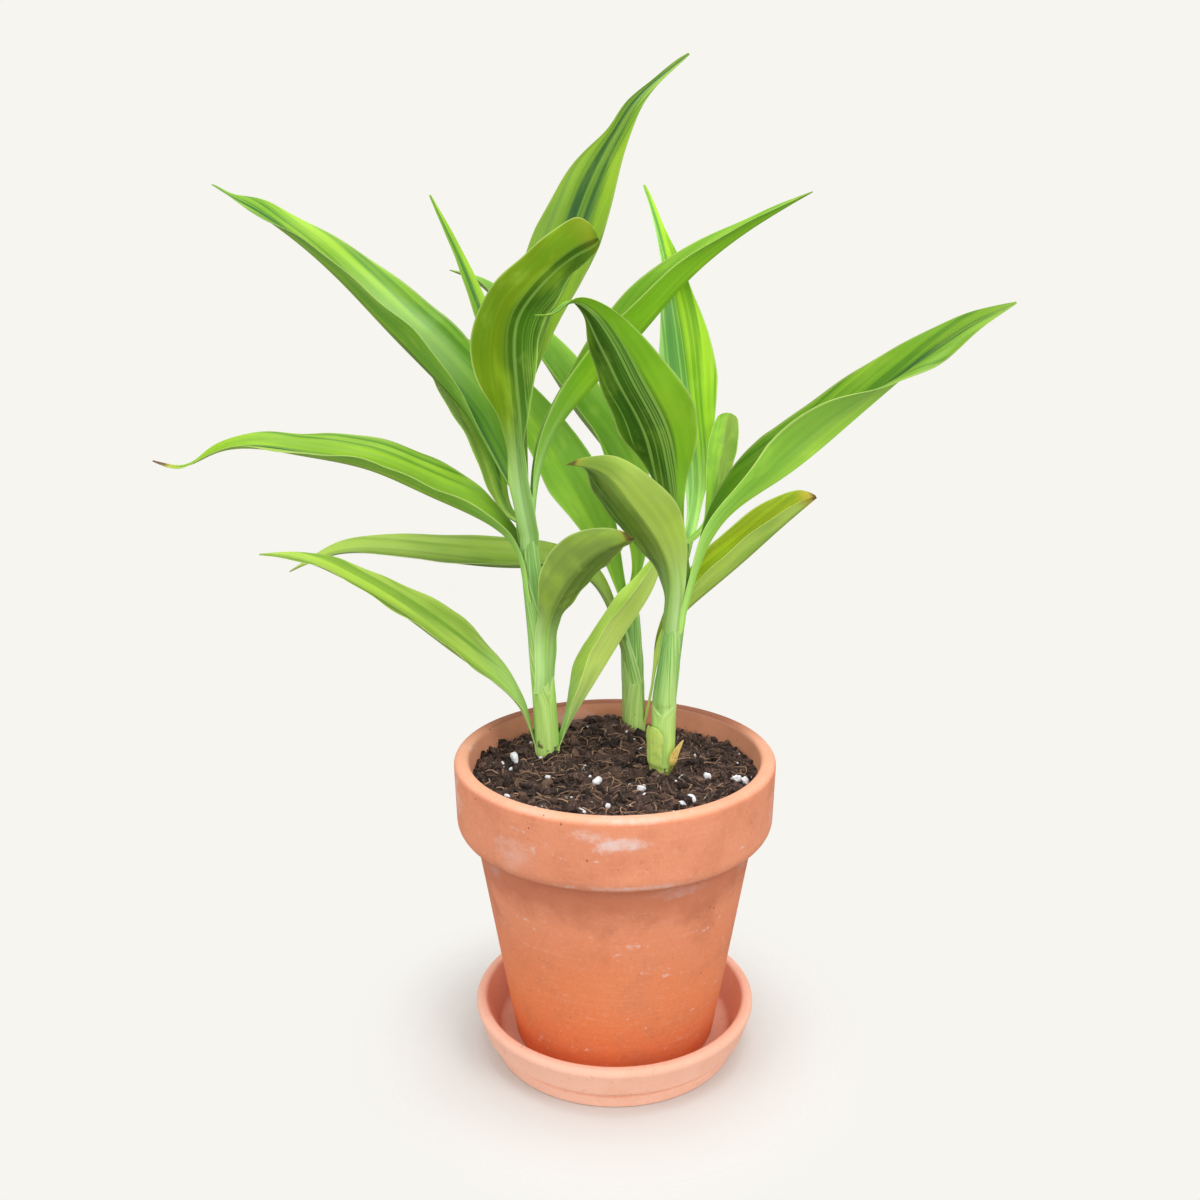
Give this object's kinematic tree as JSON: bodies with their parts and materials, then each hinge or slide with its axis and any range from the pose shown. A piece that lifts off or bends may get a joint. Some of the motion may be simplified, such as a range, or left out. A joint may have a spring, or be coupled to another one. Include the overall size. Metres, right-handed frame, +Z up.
{
  "type": "potted lucky bamboo",
  "caption": "Leafy lucky bamboo canes rooted in lumpy soil in a plain round clay pot with a deep collar, standing in a shallow clay saucer.",
  "frame": {"origin": "centre of the saucer's flat underside", "axes": "+Z up along the pot's axis, -Y towards the viewer of the picture, +X to that viewer's right"},
  "size_m": [0.3683, 0.1691, 0.4656],
  "materials": {
    "saucer_clay": "matte unglazed clay, paler and pinker than the pot",
    "pot_clay": "matte unglazed clay with whitish lime bloom",
    "soil_mix": "crumbly dark potting mix with bark fibres and white perlite",
    "cane_green": "smooth waxy pale green plant skin",
    "leaf_green": "satin waxy leaf with darker central stripes and pale margins",
    "dry_sheath": "dry papery yellow"
  },
  "bodies": {
    "root": {"leaf_back_broad": "leaf_green", "leaf_back_high": "leaf_green", "leaf_back_left_low": "leaf_green", "leaf_back_right": "leaf_green", "leaf_left_foot": "leaf_green", "leaf_left_front": "leaf_green", "leaf_left_front_low": "leaf_green", "leaf_left_high": "leaf_green", "leaf_left_long_right": "leaf_green", "leaf_left_low": "leaf_green", "leaf_left_middle": "leaf_green", "leaf_left_narrow": "leaf_green", "leaf_left_tall": "leaf_green", "leaf_left_under": "leaf_green", "leaf_right_front_high": "leaf_green", "leaf_right_front_low": "leaf_green", "leaf_right_long": "leaf_green", "leaf_right_small": "leaf_green", "leaf_right_tall": "leaf_green", "pot": "pot_clay", "saucer": "saucer_clay", "sheath_cut": "cane_green", "sheath_dry": "dry_sheath", "soil": "soil_mix", "stem_back": "cane_green", "stem_left": "cane_green", "stem_right": "cane_green"}
  },
  "joints": []
}
